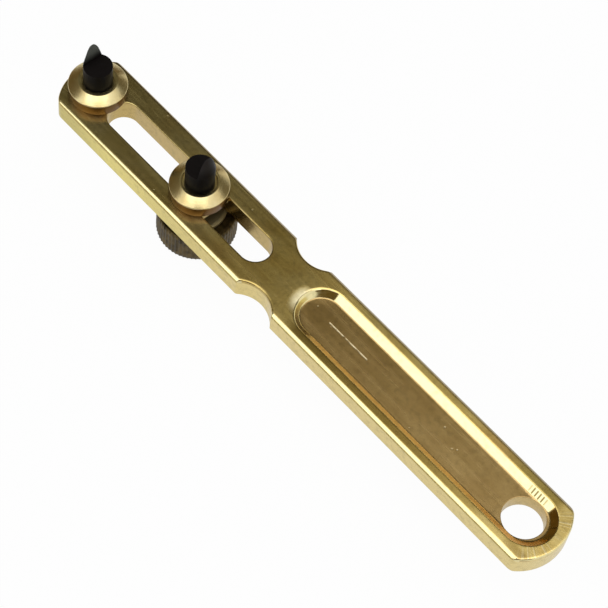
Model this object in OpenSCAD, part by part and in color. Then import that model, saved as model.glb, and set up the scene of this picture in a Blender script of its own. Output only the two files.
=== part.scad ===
// Adjustable watch case opener: a flat brass handle with one fixed and one sliding jaw.
// The origin is the axis of the hanging hole, on the handle's underside. X runs towards the jaws.

/* [Handle bar] */
// Overall length of the bar
bar_length = 115; // [114:0.5:120]
// Width of the bar stock
bar_width = 13.3; // [13:0.1:15]
// Thickness of the bar stock
bar_thickness = 4.25; // [3.9:0.05:5]
// Radius of the shallow arc that closes each end
end_radius = 8.8; // [8:0.1:14]
// Radius of the corners between an end arc and a long edge
corner_radius = 2; // [0.6:0.1:2.4]
// Chamfer along the two upper long edges
top_chamfer = 0.58; // [0.3:0.02:0.8]
// Chamfer along the two lower long edges
bottom_chamfer = 0.25; // [0.1:0.05:0.5]

/* [Hanging hole and finger panel] */
// Diameter of the hanging hole
hole_diameter = 7.1; // [5:0.1:7.1]
// Distance from the hanging hole's axis to the handle's end
hole_to_end = 7.2; // [7:0.1:8]
// Depth of the sunken panel
panel_depth = 1.2; // [0.6:0.1:1.6]
// Width of the panel at the top face
panel_top_width = 9.6; // [8.4:0.1:10]
// Width of the panel's floor
panel_floor_width = 7.2; // [7.2:0.05:7.6]
// Centre of the panel's round end near the handle's end
panel_near_x = -0.6; // [-1:0.1:0]
// Centre of the panel's round end near the waist
panel_far_x = 45.6; // [30:0.2:46]

/* [Waist] */
// Distance of the waist from the hanging hole
waist_x = 55.1; // [54:0.1:56]
// Radius of each waist cut
waist_radius = 5.6; // [5:0.1:6]
// Depth of each waist cut into the bar's edge
waist_depth = 1.95; // [1:0.05:2.2]

/* [Slot] */
// Width of the slot that guides the sliding jaw
slot_width = 5.76; // [5.4:0.02:6]
// Centre of the slot's round end near the waist
slot_near_x = 62.3; // [61.5:0.1:66]
// Centre of the slot's round end near the fixed jaw
slot_far_x = 95.4; // [90:0.1:95.6]

/* [Jaws] */
// Distance of the fixed jaw's axis from the hanging hole
fixed_jaw_x = 102.3; // [102:0.1:103]
// Distance between the two jaw axes
jaw_spacing = 26.1; // [12:0.1:35]
// Diameter of the collars
collar_diameter = 10.1; // [9.8:0.1:10.6]
// Height of a collar's straight side
collar_side = 2.05; // [1.8:0.01:2.6]
// Height of a collar's flat top ring
collar_height = 3; // [2.7:0.01:3.4]
// Diameter of the flat ring inside a collar's cone
collar_ring_diameter = 6.7; // [6.2:0.1:7.4]
// How deep the sliding collar's tongue reaches into the slot
tongue_depth = 1.08; // [0.6:0.02:1.6]
// Length of the sliding collar's tongue along the slot
tongue_length = 8.4; // [7:0.1:9.6]

/* [Jaw pins] */
// Diameter of a pin's shank
pin_diameter = 4.98; // [4.8:0.01:5.1]
// Height of a pin's shoulder over the bar
shoulder_height = 6.88; // [6:0.02:8]
// Height of a tooth's tip over the bar
tooth_height = 10.85; // [10:0.05:12]
// Distance from the pin's axis to the flat inner face of its tooth
tooth_offset = 1.45; // [1.2:0.05:1.6]
// Radius of the tooth's tapered outer side at the tip
tooth_tip_radius = 1.62; // [1.62:0.02:2]
// Height lost along a tooth's gable for each millimetre sideways
gable_slope = 2; // [1.6:0.1:2.4]

/* [Thumb nut] */
// Diameter of the knurled thumb nut
nut_diameter = 13.7; // [12:0.1:15]
// Height of the knurled thumb nut
nut_height = 5.6; // [5:0.1:7]
// Diameter of the washer above the thumb nut
washer_diameter = 9.8; // [8:0.1:11]
// Thickness of the washer above the thumb nut
washer_thickness = 0.8; // [0.4:0.1:1]

/* [Hidden] */
// The jaw pins' threaded stems are M4, with two flats that keep them from turning.
stem_radius = 2;
stem_flat = 1.6;
running_gap = 0.05;
face_gap = 0.02;
// A pin's shank stands on a ledge this high over the bar's top face.
ledge_height = 0.9;
// The top of the sliding collar's bore is opened out wide round its pin, the fixed one's hardly.
sliding_mouth_radius = 2.97;
sliding_mouth_depth = 0.8;
fixed_mouth_radius = 2.64;
fixed_mouth_depth = 0.3;
// The fixed pin is held by an M2.5 countersunk screw from under the bar.
screw_head_radius = 2.4;
screw_radius = 1.25;
screw_hole_radius = 1.35;
screw_head_sink = 0.1;
screw_cone_height = screw_head_radius - screw_radius;
screw_length = 6;
screw_slot_width = 0.6;
screw_slot_depth = 0.7;
fixed_socket_floor = 1.6;
// The sliding pin's stem ends in a swelled rim that keeps the thumb nut on it.
rim_radius = 2.4;
rim_height = 0.4;
rim_above_nut_base = 0.35;
rim_pocket_radius = 2.9;
rim_pocket_depth = 2.3;
nut_chamfer = 0.25;

pin_radius = pin_diameter / 2;
collar_radius = collar_diameter / 2;
half_width = bar_width / 2;
sliding_jaw_x = fixed_jaw_x - jaw_spacing;
handle_end_x = -hole_to_end;
jaw_end_x = bar_length - hole_to_end;
// The centres of the four corner circles, from the end arcs' centres.
corner_y = half_width - corner_radius;
corner_inset = sqrt(pow(end_radius - corner_radius, 2) - pow(corner_y, 2));
nut_top_z = -washer_thickness - 2 * face_gap;
nut_base_z = nut_top_z - nut_height;
rim_base_z = nut_base_z + rim_above_nut_base;
steps = 96;
far = 60;

// One end, seen from above: a shallow arc between two small corner circles.
// dir is 1 at the jaw end and -1 at the handle's end.
module end_outline(end_x, dir) {
    arc_x = end_x - dir * end_radius;
    wedge_x = arc_x + dir * 3 * corner_inset;
    intersection() {
        translate([arc_x, 0]) circle(r = end_radius, $fn = steps);
        polygon([[arc_x, 0], [wedge_x, 3 * corner_y], [wedge_x, -3 * corner_y]]);
    }
    for (side = [-1, 1])
        translate([arc_x + dir * corner_inset, side * corner_y])
            circle(r = corner_radius, $fn = steps);
}

module bar_outline() {
    first_x = handle_end_x + end_radius - corner_inset;
    last_x = jaw_end_x - end_radius + corner_inset;
    translate([first_x, -half_width]) square([last_x - first_x, bar_width]);
    end_outline(handle_end_x, -1);
    end_outline(jaw_end_x, 1);
}

// The drawn stock: a flat bar with its four long edges chamfered.
module bar_stock() {
    translate([handle_end_x - 1, 0, 0]) rotate([90, 0, 90]) linear_extrude(bar_length + 2)
        polygon([[-half_width + bottom_chamfer, 0],
                 [half_width - bottom_chamfer, 0],
                 [half_width, bottom_chamfer],
                 [half_width, bar_thickness - top_chamfer],
                 [half_width - top_chamfer, bar_thickness],
                 [-half_width + top_chamfer, bar_thickness],
                 [-half_width, bar_thickness - top_chamfer],
                 [-half_width, bottom_chamfer]]);
}

// The cutter of the sunken panel: a flat floor with sloping walls and round ends.
module panel_cutter() {
    top = panel_top_width / 2;
    floor_half = panel_floor_width / 2;
    // The cutter's slope goes on above the bar's top face by this height.
    over = 0.5;
    flare = (top - floor_half) / panel_depth;
    wide = top + over * flare;
    translate([panel_near_x, 0, bar_thickness]) rotate([90, 0, 90])
        linear_extrude(panel_far_x - panel_near_x)
            polygon([[-floor_half, -panel_depth], [floor_half, -panel_depth],
                     [wide, over], [-wide, over]]);
    for (x = [panel_near_x, panel_far_x])
        translate([x, 0, bar_thickness - panel_depth])
            cylinder(r1 = floor_half, r2 = wide, h = panel_depth + over, $fn = steps);
}

module slot_cutter() {
    translate([slot_near_x, -slot_width / 2, -1])
        cube([slot_far_x - slot_near_x, slot_width, bar_thickness + 2]);
    for (x = [slot_near_x, slot_far_x])
        translate([x, 0, -1]) cylinder(d = slot_width, h = bar_thickness + 2, $fn = steps);
}

module waist_cutter() {
    centre_y = half_width - waist_depth + waist_radius;
    for (side = [-1, 1])
        translate([waist_x, side * centre_y, -1])
            cylinder(r = waist_radius, h = bar_thickness + 2, $fn = steps);
}

// A round stem with two opposite flats, or the hole for it when gap is not zero.
module flatted_stem(base_z, top_z, gap = 0) {
    height = top_z - base_z;
    width = 2 * (stem_flat + gap);
    intersection() {
        translate([0, 0, base_z]) cylinder(r = stem_radius + gap, h = height, $fn = steps);
        translate([-width / 2, -far / 2, base_z]) cube([width, far, height]);
    }
}

// A turned collar, its foot at z = 0: a straight side, a shallow cone and a flat ring round the bore.
module collar_blank() {
    rotate_extrude($fn = steps)
        polygon([[0, 0], [collar_radius, 0], [collar_radius, collar_side],
                 [collar_ring_diameter / 2, collar_height], [0, collar_height]]);
}

// The bore for a pin's shank, opened out at its mouth.
module collar_bore(mouth_radius, mouth_depth) {
    translate([0, 0, ledge_height])
        cylinder(r = pin_radius + face_gap, h = collar_height, $fn = steps);
    translate([0, 0, collar_height - mouth_depth])
        cylinder(r = mouth_radius, h = mouth_depth + 1, $fn = steps);
}

// A pin standing on the bar's top face at z = 0, its tooth on the +X side.
module pin_head() {
    translate([0, 0, ledge_height + face_gap])
        cylinder(r = pin_radius, h = shoulder_height - ledge_height - face_gap, $fn = steps);
    tooth();
}

// The tooth: a slice of the shank that tapers outside and ends in a gable.
module tooth() {
    root = 0.5;
    root_z = shoulder_height - root;
    height = tooth_height - shoulder_height;
    // The gable's two slopes would meet this much above the tooth's blunt tip.
    peak = tooth_height + 0.8;
    half_gable = (peak - root_z) / gable_slope;
    intersection() {
        union() {
            translate([0, 0, shoulder_height])
                cylinder(r1 = pin_radius, r2 = tooth_tip_radius, h = height, $fn = steps);
            translate([0, 0, root_z]) cylinder(r = pin_radius, h = root, $fn = steps);
        }
        translate([tooth_offset, -pin_diameter, root_z])
            cube([pin_radius, 2 * pin_diameter, height + root]);
        rotate([90, 0, 90]) linear_extrude(2 * pin_radius)
            polygon([[-half_gable, root_z], [half_gable, root_z], [0, peak]]);
    }
}

module handle_bar() {
    color("darkkhaki") difference() {
        intersection() {
            bar_stock();
            translate([0, 0, -1]) linear_extrude(bar_thickness + 2) bar_outline();
        }
        panel_cutter();
        slot_cutter();
        waist_cutter();
        translate([0, 0, -1]) cylinder(d = hole_diameter, h = bar_thickness + 2, $fn = steps);
        translate([fixed_jaw_x, 0, 0]) {
            flatted_stem(fixed_socket_floor, bar_thickness + 1, running_gap);
            translate([0, 0, -1]) cylinder(r = screw_hole_radius, h = bar_thickness, $fn = steps);
            screw_cone(face_gap, 1);
        }
    }
}

module fixed_collar() {
    color("goldenrod") translate([fixed_jaw_x, 0, bar_thickness]) difference() {
        collar_blank();
        collar_bore(fixed_mouth_radius, fixed_mouth_depth);
        translate([0, 0, -1]) cylinder(r = stem_radius + running_gap, h = 3, $fn = steps);
    }
}

module fixed_pin() {
    tapped_top = screw_head_sink + screw_length + 0.5;
    color("dimgray") translate([fixed_jaw_x, 0, 0]) difference() {
        union() {
            translate([0, 0, bar_thickness]) pin_head();
            flatted_stem(fixed_socket_floor + face_gap, bar_thickness + ledge_height + 1);
        }
        cylinder(r = screw_radius + face_gap, h = tapped_top, $fn = steps);
    }
}

// The countersunk head's cone. The bar's countersink is the same cone, wider by gap and
// run on below the bar by over.
module screw_cone(gap = 0, over = 0) {
    wide = screw_head_radius + gap;
    rotate_extrude($fn = steps)
        polygon([[0, screw_head_sink + screw_cone_height],
                 [screw_radius + gap, screw_head_sink + screw_cone_height],
                 [wide, screw_head_sink], [wide, screw_head_sink - over],
                 [0, screw_head_sink - over]]);
}

module clamp_screw() {
    color("gray") translate([fixed_jaw_x, 0, 0]) difference() {
        union() {
            screw_cone();
            translate([0, 0, screw_head_sink])
                cylinder(r = screw_radius, h = screw_length, $fn = steps);
        }
        translate([-screw_head_radius - 1, -screw_slot_width / 2, screw_head_sink - 1])
            cube([2 * screw_head_radius + 2, screw_slot_width, screw_slot_depth + 1]);
    }
}

// The sliding collar has a square-ended tongue that runs in the slot and cannot turn.
module sliding_collar() {
    tongue_width = slot_width - 2 * running_gap;
    color("goldenrod") translate([sliding_jaw_x, 0, bar_thickness + face_gap]) difference() {
        union() {
            collar_blank();
            translate([-tongue_length / 2, -tongue_width / 2, -tongue_depth])
                cube([tongue_length, tongue_width, tongue_depth]);
        }
        collar_bore(sliding_mouth_radius, sliding_mouth_depth);
        flatted_stem(-tongue_depth - 1, ledge_height + 1, face_gap);
    }
}

// The sliding pin is turned round, so that its tooth is on the side away from the fixed jaw.
module sliding_pin() {
    color("dimgray") translate([sliding_jaw_x, 0, 0]) rotate([0, 0, 180]) {
        translate([0, 0, bar_thickness + face_gap]) pin_head();
        flatted_stem(rim_base_z, bar_thickness + ledge_height + 1);
        translate([0, 0, rim_base_z]) cylinder(r = rim_radius, h = rim_height, $fn = steps);
    }
}

module thrust_washer() {
    color("khaki") translate([sliding_jaw_x, 0, -washer_thickness - face_gap]) difference() {
        cylinder(d = washer_diameter, h = washer_thickness, $fn = steps);
        translate([0, 0, -1])
            cylinder(r = stem_radius + running_gap, h = washer_thickness + 2, $fn = steps);
    }
}

module thumb_nut() {
    radius = nut_diameter / 2;
    color("darkslategray") translate([sliding_jaw_x, 0, nut_base_z]) difference() {
        rotate_extrude($fn = steps)
            polygon([[0, 0], [radius - nut_chamfer, 0], [radius, nut_chamfer],
                     [radius, nut_height - nut_chamfer], [radius - nut_chamfer, nut_height],
                     [0, nut_height]]);
        translate([0, 0, -1])
            cylinder(r = stem_radius + running_gap, h = nut_height + 2, $fn = steps);
        translate([0, 0, -1])
            cylinder(r = rim_pocket_radius, h = rim_pocket_depth + 1, $fn = steps);
    }
}

handle_bar();
fixed_collar();
fixed_pin();
clamp_screw();
sliding_collar();
sliding_pin();
thrust_washer();
thumb_nut();
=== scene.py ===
# %% [markdown]
# # A watchmaker's case opener in brass and blackened steel
#
# The tool is a flat brass handle. At one end stand two short steel pins with teeth.
# One pin is fixed. The other slides along a slot and is locked by a knurled nut underneath.
# The teeth go into two notches of a watch's screwed back, and the handle turns it.
#
# The exact solids of the tool are already made, and this file dresses them. Each solid is
# plain and sharp, and metal looks real only when its edges catch the light. So most pieces
# are built again here from the same sizes, with rounded edges, threads and knurling.

# %% Load the solids as a fixed frame
import math
import bmesh
import bpy
import numpy as np
from mathutils import Matrix, Vector
from mathutils.geometry import delaunay_2d_cdt


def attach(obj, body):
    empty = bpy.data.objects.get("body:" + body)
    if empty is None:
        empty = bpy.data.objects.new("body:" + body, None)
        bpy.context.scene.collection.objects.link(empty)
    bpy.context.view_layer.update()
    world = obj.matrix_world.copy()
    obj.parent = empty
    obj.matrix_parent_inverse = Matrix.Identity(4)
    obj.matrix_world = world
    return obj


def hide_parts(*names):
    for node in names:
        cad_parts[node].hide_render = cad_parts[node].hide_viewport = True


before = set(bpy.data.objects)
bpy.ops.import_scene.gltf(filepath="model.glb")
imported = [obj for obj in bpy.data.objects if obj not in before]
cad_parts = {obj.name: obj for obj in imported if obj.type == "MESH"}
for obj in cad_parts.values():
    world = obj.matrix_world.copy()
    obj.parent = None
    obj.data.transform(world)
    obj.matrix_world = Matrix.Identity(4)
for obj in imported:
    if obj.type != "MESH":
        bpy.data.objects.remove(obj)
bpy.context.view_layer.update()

# %% [markdown]
# ## One set of sizes
#
# Every length below is in millimetres, because that is how the tool would be drawn, and
# is turned into metres once, when a mesh is made. The origin is under the hanging hole,
# X runs towards the jaws and Z points up, out of the face that carries the jaws.

# %% The handle's sizes
MM = 0.001
HANDLE_END = -7.2
JAW_END = 107.8
HALF_WIDTH = 6.65
THICKNESS = 4.25
END_RADIUS = 8.8
CORNER_RADIUS = 2.0
TOP_CHAMFER = 0.58
BOTTOM_CHAMFER = 0.25
WAIST_X = 55.1
WAIST_RADIUS = 5.6
WAIST_CENTRE_Y = 10.3
HOLE_RADIUS = 3.55
PANEL_X = (-0.6, 45.6)
PANEL_FLOOR = 3.6
PANEL_TOP = 4.8
PANEL_Z = 3.05
SLOT_X = (62.3, 95.4)
SLOT_RADIUS = 2.88
FIXED_X = 102.3
SLIDING_X = 76.2

# %% [markdown]
# ## Three small tools
#
# Most of the tool was turned on a lathe or cut along a path, so nearly every surface here is
# a grid: rows are the steps of a profile, and columns run round a closed loop.
# `rounded` softens the corners of a profile, `ring_rows` carries a profile round an axis,
# and `weld` joins the grids into one closed skin.
# A subdivision surface could soften the corners too, but it would also pull the flats out
# of true, and a flat metal face shows that at once.

# %% Round the corners of a profile


def rounded(points, radii, steps=4):
    """A corner with sides a and b gets an arc tangent to both.

    The arc starts radius / tan(half) before the corner, where half is half the angle between
    the sides. Its two ends, seen from the centre, are start and end, with an angle between
    them, and its points are (sin((1 - t) angle) start + sin(t angle) end) / sin(angle).
    """
    points = [np.array(p, float) for p in points]
    made = [points[0]]
    for k in range(1, len(points) - 1):
        before = points[k - 1] - points[k]
        after = points[k + 1] - points[k]
        before /= np.linalg.norm(before)
        after /= np.linalg.norm(after)
        half = math.acos(float(np.clip(before @ after, -1, 1))) / 2
        radius = radii[k - 1]
        if radius == 0:
            made.append(points[k])
            continue
        bisector = (before + after) / np.linalg.norm(before + after)
        centre = points[k] + bisector * radius / math.sin(half)
        start = points[k] + before * radius / math.tan(half) - centre
        end = points[k] + after * radius / math.tan(half) - centre
        angle = math.acos(float(np.clip(start @ end / radius**2, -1, 1)))
        t = np.linspace(0, 1, steps + 1)[:, None]
        arc = (np.sin((1 - t) * angle) * start + np.sin(t * angle) * end) / math.sin(angle)
        made.extend(centre + arc)
    made.append(points[-1])
    return np.array(made)


# %% Carry a profile round an axis


def ring_rows(profile, x, columns=192):
    """Turns a profile of (radius, height) points about the upright line at x.

    Point (i, j) is (x + r_i cos a_j, r_i sin a_j, z_i), where a_j = 2 pi j / columns.
    """
    profile = np.asarray(profile, float)
    angle = np.arange(columns) * 2 * math.pi / columns
    radius = profile[:, 0][:, None]
    height = np.broadcast_to(profile[:, 1][:, None], (len(profile), columns))
    return np.stack([x + radius * np.cos(angle), radius * np.sin(angle), height], axis=-1)


# %% Weld grids and flat patches into a closed skin


def grid_faces(rows, columns, closed_rows):
    """Quads between neighbouring rows. Columns always close on themselves."""
    i = np.arange(rows if closed_rows else rows - 1)[:, None]
    j = np.arange(columns)[None, :]
    below = (i + 1) % rows
    right = (j + 1) % columns
    quads = np.stack([i * columns + j, i * columns + right,
                      below * columns + right, below * columns + j], axis=-1)
    return quads.reshape(-1, 4)


def weld(name, grids, patches=(), crease=32):
    """Joins grids (rows x columns x 3) and patches (points, triangles), all in millimetres.

    Points closer than a ten-thousandth of a millimetre become one. A corner sharper than
    `crease` degrees stays sharp, and big faces decide the shading of what touches them.
    """
    points = []
    faces = []
    count = 0
    for grid, closed_rows in grids:
        rows, columns = grid.shape[:2]
        points.append(grid.reshape(-1, 3))
        faces += (grid_faces(rows, columns, closed_rows) + count).tolist()
        count += rows * columns
    for corners, triangles in patches:
        points.append(corners)
        faces += (triangles + count).tolist()
        count += len(corners)
    mesh = bpy.data.meshes.new(name)
    mesh.from_pydata((np.vstack(points) * MM).tolist(), [], faces)
    skin = bmesh.new()
    skin.from_mesh(mesh)
    bmesh.ops.remove_doubles(skin, verts=skin.verts, dist=1e-7)
    bmesh.ops.dissolve_degenerate(skin, edges=skin.edges, dist=1e-8)
    bmesh.ops.recalc_face_normals(skin, faces=skin.faces)
    open_edges = sum(1 for edge in skin.edges if not edge.is_manifold)
    skin.to_mesh(mesh)
    skin.free()
    mesh.polygons.foreach_set("use_smooth", [True] * len(mesh.polygons))
    mesh.set_sharp_from_angle(angle=math.radians(crease))
    piece = bpy.data.objects.new(name, mesh)
    bpy.context.scene.collection.objects.link(piece)
    even = piece.modifiers.new("Even shading", "WEIGHTED_NORMAL")
    even.keep_sharp = True
    print(f"{name}: {len(mesh.polygons)} faces, {open_edges} open edges")
    return piece


# %% [markdown]
# ## The handle
#
# The real handle is a length of flat brass bar whose upper long edges are chamfered. Its
# ends, the waist, the slot and the sunken panel were cut afterwards, so the chamfer stops
# dead where a cut crosses it. A boolean of boxes and cylinders gives that shape, but it
# leaves knife edges. Here each outline is a loop of points, and the loop is carried up the
# wall, round the edge and in over the top. Three triangulated patches close what is left:
# the top, the underside and the panel's floor.

# %% The handle's outline, seen from above
END_POINTS, CORNER_POINTS, WAIST_POINTS = 49, 13, 41
JAW_SIDE_POINTS, GRIP_SIDE_POINTS = 52, 66


def arc(x, y, radius, first, last, count):
    """Points on a circle at (x, y), with the angle going evenly from first to last degrees."""
    angle = np.radians(np.linspace(first, last, count))
    return np.stack([x + radius * np.cos(angle), y + radius * np.sin(angle)], axis=-1)


def straight(start, end, count):
    """Points evenly spaced along a line, without its two ends."""
    t = np.linspace(0, 1, count + 1)[1:-1, None]
    return np.array(start) * (1 - t) + np.array(end) * t


def handle_outline():
    """One loop, anticlockwise from the jaw end: arc, corner, edge, waist, edge, and back.

    A corner circle touches the end arc where both lie on one line through the arc's centre.
    """
    corner_y = HALF_WIDTH - CORNER_RADIUS
    inset = math.sqrt((END_RADIUS - CORNER_RADIUS) ** 2 - corner_y**2)
    turn = math.degrees(math.atan2(corner_y, inset))
    jaw_arc = JAW_END - END_RADIUS
    handle_arc = HANDLE_END + END_RADIUS
    notch = math.sqrt(WAIST_RADIUS**2 - (WAIST_CENTRE_Y - HALF_WIDTH) ** 2)
    tilt = math.degrees(math.acos(notch / WAIST_RADIUS))
    near = WAIST_X - notch
    far = WAIST_X + notch
    y = HALF_WIDTH
    parts = [
        arc(jaw_arc, 0, END_RADIUS, -turn, turn, END_POINTS),
        arc(jaw_arc + inset, corner_y, CORNER_RADIUS, turn, 90, CORNER_POINTS)[1:],
        straight((jaw_arc + inset, y), (far, y), JAW_SIDE_POINTS),
        arc(WAIST_X, WAIST_CENTRE_Y, WAIST_RADIUS, -tilt, tilt - 180, WAIST_POINTS),
        straight((near, y), (handle_arc - inset, y), GRIP_SIDE_POINTS),
        arc(handle_arc - inset, corner_y, CORNER_RADIUS, 90, 180 - turn, CORNER_POINTS),
        arc(handle_arc, 0, END_RADIUS, 180 - turn, 180 + turn, END_POINTS)[1:],
        arc(handle_arc - inset, -corner_y, CORNER_RADIUS, 180 + turn, 270, CORNER_POINTS)[1:],
        straight((handle_arc - inset, -y), (near, -y), GRIP_SIDE_POINTS),
        arc(WAIST_X, -WAIST_CENTRE_Y, WAIST_RADIUS, 180 - tilt, tilt, WAIST_POINTS),
        straight((far, -y), (jaw_arc + inset, -y), JAW_SIDE_POINTS),
        arc(jaw_arc + inset, -corner_y, CORNER_RADIUS, -90, -turn, CORNER_POINTS)[:-1],
    ]
    return np.vstack(parts)


outline = handle_outline()
print("outline points:", len(outline), "box:", outline.min(0), outline.max(0))

# %% [markdown]
# ### Edges and chamfers
#
# A filed edge is a small round, and the bar's long chamfer bulges a little, as filing leaves
# it. A bevel modifier would round every edge by the same amount, and would take the chamfer
# round the ends too. Here the outline is moved inwards step by step while a formula lowers
# it, so the long sides, the ends and the waist can each have their own rounding.

# %% Move a loop inwards


def inset_loop(loop, distance):
    """Moves each point along the bisector of its two edges, so both edges move by distance.

    With the edges' inward normals m and n, the step is distance * (m + n) / (1 + m . n).
    """
    before = loop - np.roll(loop, 1, axis=0)
    after = np.roll(loop, -1, axis=0) - loop
    m = np.stack([-before[:, 1], before[:, 0]], axis=-1)
    n = np.stack([-after[:, 1], after[:, 0]], axis=-1)
    m /= np.linalg.norm(m, axis=1, keepdims=True)
    n /= np.linalg.norm(n, axis=1, keepdims=True)
    along = 1 + (m * n).sum(axis=1, keepdims=True)
    return loop + distance * (m + n) / along


# %% How far the chamfer cuts into the face
CHAMFER_BULGE = 0.16


def chamfer_drop(y, width, blend):
    """How far the face lies under the bar's full thickness at a distance |y| from the middle.

    With p = |y| - (HALF_WIDTH - width), q is 0 inside, p outside, and a parabola over the
    blend between them. The drop is q * (1 - bulge + bulge * q / width), so the chamfer
    bulges as a filed one does.
    """
    past = np.abs(y) - (HALF_WIDTH - width)
    curve = (past + blend) ** 2 / (4 * blend)
    q = np.where(past < -blend, 0, np.where(past > blend, past, curve))
    return q * (1 - CHAMFER_BULGE + CHAMFER_BULGE * q / width)


# %% The handle's wall, edges and chamfers
EDGE_CHANGE = 0.4
EDGE_STEPS = 7
CHAMFER_STEPS, BLEND_STEPS = (0.75, 0.5, 0.3), (1, 0.5, 0, -0.5, -1)


def half_of_wall(loop, width, blend, edges):
    """Rows from the wall, round the edge, over the chamfer and up to the flat face.

    The edge is a quarter circle: in by edge (1 - cos t), short of the face by edge (1 - sin t).
    Its radius is edges[0] on the long sides and edges[1] on the ends and in the waist, and
    goes from one to the other over EDGE_CHANGE millimetres of |y|.
    Each later row pulls the points in to the next |y|, which lays the chamfer as a strip.
    The rows give x, y and the depth under the face.
    """
    edge = np.interp(HALF_WIDTH - np.abs(loop[:, 1]), [0, EDGE_CHANGE], edges)
    rows = []
    for t in np.radians(np.linspace(0, 90, EDGE_STEPS)):
        moved = inset_loop(loop, (edge * (1 - math.cos(t)))[:, None])
        depth = chamfer_drop(moved[:, 1], width, blend) + edge * (1 - math.sin(t))
        rows.append(np.column_stack([moved, depth]))
    start = HALF_WIDTH - width
    strip = [start + width * share for share in CHAMFER_STEPS]
    for limit in strip + [start + blend * share for share in BLEND_STEPS]:
        moved = rows[-1][:, :2].copy()
        moved[:, 1] = np.clip(moved[:, 1], -limit, limit)
        rows.append(np.column_stack([moved, chamfer_drop(moved[:, 1], width, blend)]))
    return np.array(rows)


def with_margin(rows, width=0.2):
    """Adds one more row, moved in over the flat face, so that the face's own normal is true."""
    inner = rows[-1].copy()
    inner[:, :2] = inset_loop(rows[-1][:, :2], width)
    return np.concatenate([rows, inner[None]])


JAW_CHAMFER = 0.36
NARROWS_FROM_TO = (58, 100)
UPPER_BLEND, LOWER_BLEND = 0.09, 0.04
UPPER_EDGES, LOWER_EDGES = (0.08, 0.34), (0.05, 0.12)
chamfer_width = np.interp(outline[:, 0], NARROWS_FROM_TO, (TOP_CHAMFER, JAW_CHAMFER))
upper = with_margin(half_of_wall(outline, chamfer_width, UPPER_BLEND, UPPER_EDGES))
lower = with_margin(half_of_wall(outline, BOTTOM_CHAMFER, LOWER_BLEND, LOWER_EDGES))
upper[:, :, 2] = THICKNESS - upper[:, :, 2]
handle_wall = np.concatenate([lower[::-1], upper])
print("handle wall grid:", handle_wall.shape)

# %% [markdown]
# ### The slot and the panel
#
# Both were milled with a round cutter, so both are stadiums: two half circles joined by
# straight runs. The slot goes straight through, and the panel's wall slopes. Booleans would
# cut them, but with an edge that can't be rounded evenly. Here a profile from the face to
# the floor is carried round the middle line, and its corners are rounded first.

# %% Carry a profile round a stadium


def stadium_rows(profile, ends, waist_profile=None, count=72):
    """Carries a profile of (distance, height) points round the line between the ends.

    Each column has a centre c and a unit direction u, and its points are c + distance * u.
    On the half circle towards +X the profile turns into waist_profile with the weight u_x.
    """
    right = np.linspace(-90, 90, count)
    angle = np.radians(np.concatenate([right, np.full(count - 2, 90), right + 180,
                                       np.full(count - 2, 270)]))
    along = np.linspace(ends[1], ends[0], count)
    centre = np.concatenate([np.full(count, ends[1]), along[1:-1], np.full(count, ends[0]),
                             along[::-1][1:-1]])
    outward = np.column_stack([np.cos(angle), np.sin(angle)])
    weight = np.clip(outward[:, 0], 0, 1)[None, :, None]
    profile = np.asarray(profile)[:, None, :]
    waist = profile if waist_profile is None else np.asarray(waist_profile)[:, None, :]
    mixed = profile * (1 - weight) + waist * weight
    x = centre + mixed[:, :, 0] * outward[:, 0]
    return np.stack([x, mixed[:, :, 0] * outward[:, 1], mixed[:, :, 1]], axis=-1)


# %% The slot's wall and the panel's wall
SLOT_REACH_ABOVE, SLOT_REACH_BELOW = 3.25, 3.2
SLOT_ROUNDING = (0.16, 0.08)
slot_profile = rounded([(SLOT_REACH_ABOVE, THICKNESS), (SLOT_RADIUS, THICKNESS),
                        (SLOT_RADIUS, 0), (SLOT_REACH_BELOW, 0)], SLOT_ROUNDING)
slot_wall = stadium_rows(slot_profile, SLOT_X)


def panel_profile(foot, reach, rounding):
    """From the foot of the wall, up its slope and out over the face to the distance reach.

    The rounding is the radius at the foot and at the rim.
    """
    corners = [(foot - 1, PANEL_Z), (foot, PANEL_Z), (PANEL_TOP, THICKNESS), (reach, THICKNESS)]
    return rounded(corners, rounding, 8)[1:]


panel_side = panel_profile(PANEL_FLOOR, 5.15, (0.4, 0.28))
panel_waist = panel_profile(PANEL_FLOOR + 0.42, 5.4, (0.45, 0.85))
panel_rows = stadium_rows(panel_side, PANEL_X, panel_waist)
print("slot wall grid:", slot_wall.shape, "panel wall grid:", panel_rows.shape)

# %% [markdown]
# ### The hanging hole
#
# The hanging hole is as wide as the panel's floor, so its rim climbs a little way up the
# foot of the wall on both sides. A boolean would cut that curve, and leave a ragged edge.
# Here the panel's height is a formula, so rings round the hole are laid straight onto it.

# %% The hanging hole and the panel round it


def panel_height(x, y):
    """The panel's height near the hole, from the distance to the panel's middle line."""
    distance = np.hypot(np.minimum(x - PANEL_X[0], 0), y)
    return np.interp(distance, panel_side[:, 0], panel_side[:, 1])


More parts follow.
